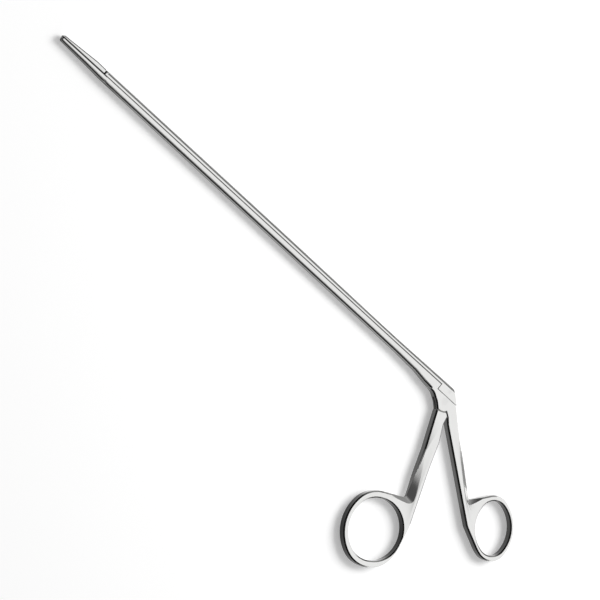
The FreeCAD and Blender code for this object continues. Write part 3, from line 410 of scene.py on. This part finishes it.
cameraSetup = {
    "tilt": 23.0,               # between the line of sight and the plate's normal; a degree more than
                                # measured, to offset the rest of the perspective
    "heading": -149.53,         # where the camera leans, in the XY plane
    "leanInPicture": 170.0,     # the same lean as it lies in the picture, from the right, anticlockwise
    "pixel": 0.0004750,         # one pixel of the photograph at the part
    "aim": (0.0, 0.0, 0.0056),  # main pivot, on the upper face
    "aimPixel": (444.8, 401.6), # where the photograph shows it
    "distance": 12.5,           # far enough to look almost flat; views cut off what is much further
    "imageSize": 600,
    "sensor": 36,
}


def cameraAxes():
    # right, up and back of the camera: back = sin(tilt) * lean + cos(tilt) * Z, and the picture's
    # right and up turn the projected lean by leanInPicture
    tilt = math.radians(cameraSetup["tilt"])
    heading = math.radians(cameraSetup["heading"])
    turn = math.radians(cameraSetup["leanInPicture"])
    lean = Vector((math.cos(heading), math.sin(heading), 0))
    side = Vector((-math.sin(heading), math.cos(heading), 0))
    back = lean * math.sin(tilt) + Vector((0, 0, math.cos(tilt)))
    along = lean * math.cos(tilt) - Vector((0, 0, math.sin(tilt)))
    right = along * math.cos(turn) - side * math.sin(turn)
    up = along * math.sin(turn) + side * math.cos(turn)
    return right, up, back


def makeCamera():
    # centre = aim - right * (aimPixel x - half) * pixel + up * (aimPixel y - half) * pixel, and the
    # lens shows pixel * imageSize at the distance
    right, up, back = cameraAxes()
    pixel, distance = cameraSetup["pixel"], cameraSetup["distance"]
    half = cameraSetup["imageSize"] / 2
    data = bpy.data.cameras.new("StudioCamera")
    data.sensor_width = cameraSetup["sensor"]
    data.lens = cameraSetup["sensor"] * distance / (pixel * cameraSetup["imageSize"])
    data.clip_start, data.clip_end = 0.05, 40.0
    camera = bpy.data.objects.new("StudioCamera", data)
    bpy.context.scene.collection.objects.link(camera)
    aimX, aimY = cameraSetup["aimPixel"]
    centre = Vector(cameraSetup["aim"]) - right * (aimX - half) * pixel + up * (aimY - half) * pixel
    place = Matrix.Translation(centre + back * distance)
    camera.matrix_world = place @ Matrix((right, up, back)).transposed().to_4x4()
    bpy.context.scene.camera = camera


makeCamera()
print("camera set")

# Floor and light

studio = {
    "floorSize": 6.0,
    "floorColour": (0.78, 0.78, 0.78, 1),
    "floorLift": 0.33,          # added where the camera or a reflection sees the floor, to reach white
    "skyDark": 0.012,           # the room round the bright panel, low down
    "skyHigh": 0.07,            # added higher up
    "skyRise": (0.45, 0.72),    # sine of the elevation where the upper part begins and is full
    "panelBright": 0.71,        # soft panel above, which the flat faces mirror
    "panelLean": 25.0,          # how far it leans to the picture's right, in degrees from overhead
    "panelEdge": (0.78, 0.966), # cosine of the angle from its middle where it ends and where it is full
    "sideGlow": 0.32,           # paler walls of the room, all but the one on the picture's left
    "sideEdge": (-0.35, 0.35),  # part of the direction that points right where they begin and are full
    "lampPower": 15.5,
    "lampSize": 0.75,
    "lampHeight": 48.0,         # elevation in degrees
    "lampTurn": 0.35,           # how far its heading leans from the picture's right to its top
    "lampDistance": 1.3,
}


def makeFloor():
    # white ground: diffuse + floorLift for the camera, reflections and rays that pass through
    half = studio["floorSize"] / 2
    corners = [(-half, -half, 0), (half, -half, 0), (half, half, 0), (-half, half, 0)]
    mesh = bpy.data.meshes.new("Floor")
    mesh.from_pydata(corners, [], [(0, 1, 2, 3)])
    floor = bpy.data.objects.new("Floor", mesh)
    bpy.context.scene.collection.objects.link(floor)
    material = bpy.data.materials.new("WhiteGround")
    material.use_nodes = True
    shader = Shader(material.node_tree)
    seen = shader.node("ShaderNodeLightPath")
    lift = (seen["Is Camera Ray"] + seen["Is Glossy Ray"] + seen["Is Transmission Ray"]) * studio["floorLift"]
    lit = shader.node("ShaderNodeBsdfDiffuse", None, {"Color": studio["floorColour"]})["BSDF"]
    glow = shader.node("ShaderNodeEmission", None, {"Color": (1, 1, 1, 1), "Strength": lift})["Emission"]
    both = shader.node("ShaderNodeAddShader", None, {0: lit, 1: glow})["Shader"]
    shader.node("ShaderNodeOutputMaterial", None, {"Surface": both})
    mesh.materials.append(material)


def makeSky():
    # sky(direction) = smooth step from skyDark to sideGlow of the part that points right
    #                + skyHigh * smooth step of the height
    #                + panelBright * smooth step of the cosine to the panel's middle
    right = cameraAxes()[0]
    flatRight = Vector((right.x, right.y, 0)).normalized()
    lean = math.radians(studio["panelLean"])
    middle = Vector((0, 0, math.cos(lean))) + flatRight * math.sin(lean)
    world = bpy.data.worlds.new("Studio")
    world.use_nodes = True
    shader = Shader(world.node_tree)
    direction = shader.node("ShaderNodeTexCoord")["Generated"]
    towards = {}
    for name, axis in (("panel", middle), ("side", flatRight)):
        towards[name] = shader.node("ShaderNodeVectorMath", {"operation": "DOT_PRODUCT"},
                                    {0: direction, 1: tuple(axis)})["Value"]
    light = towards["panel"].ramp(*studio["panelEdge"], 0.0, studio["panelBright"])
    light = light + towards["side"].ramp(*studio["sideEdge"], studio["skyDark"], studio["sideGlow"])
    height = shader.node("ShaderNodeSeparateXYZ", None, {"Vector": direction})["Z"]
    light = light + height.ramp(*studio["skyRise"], 0.0, studio["skyHigh"])
    sky = shader.node("ShaderNodeBackground", None, {"Color": (1, 1, 1, 1), "Strength": light})
    shader.node("ShaderNodeOutputWorld", None, {"Surface": sky["Background"]})
    bpy.context.scene.world = world


def makeLamp():
    # square lamp at lampDistance, heading = picture's right + lampTurn * picture's top, lampHeight up
    right, up, _ = cameraAxes()
    flatRight = Vector((right.x, right.y, 0)).normalized()
    flatUp = Vector((up.x, up.y, 0)).normalized()
    heading = (flatRight + flatUp * studio["lampTurn"]).normalized()
    lift = math.radians(studio["lampHeight"])
    towards = heading * math.cos(lift) + Vector((0, 0, math.sin(lift)))
    data = bpy.data.lights.new("SoftBox", "AREA")
    data.shape = "SQUARE"
    data.size = studio["lampSize"]
    data.energy = studio["lampPower"]
    lamp = bpy.data.objects.new("SoftBox", data)
    bpy.context.scene.collection.objects.link(lamp)
    lamp.location = towards * studio["lampDistance"]
    lamp.rotation_mode = "QUATERNION"
    lamp.rotation_quaternion = towards.to_track_quat("Z", "Y")
    lamp.visible_glossy = False  # the steel mirrors the even sky, not the lamp's square


makeFloor()
makeSky()
makeLamp()
bpy.context.scene.view_settings.view_transform = "Standard"
print("floor, sky and lamp set")
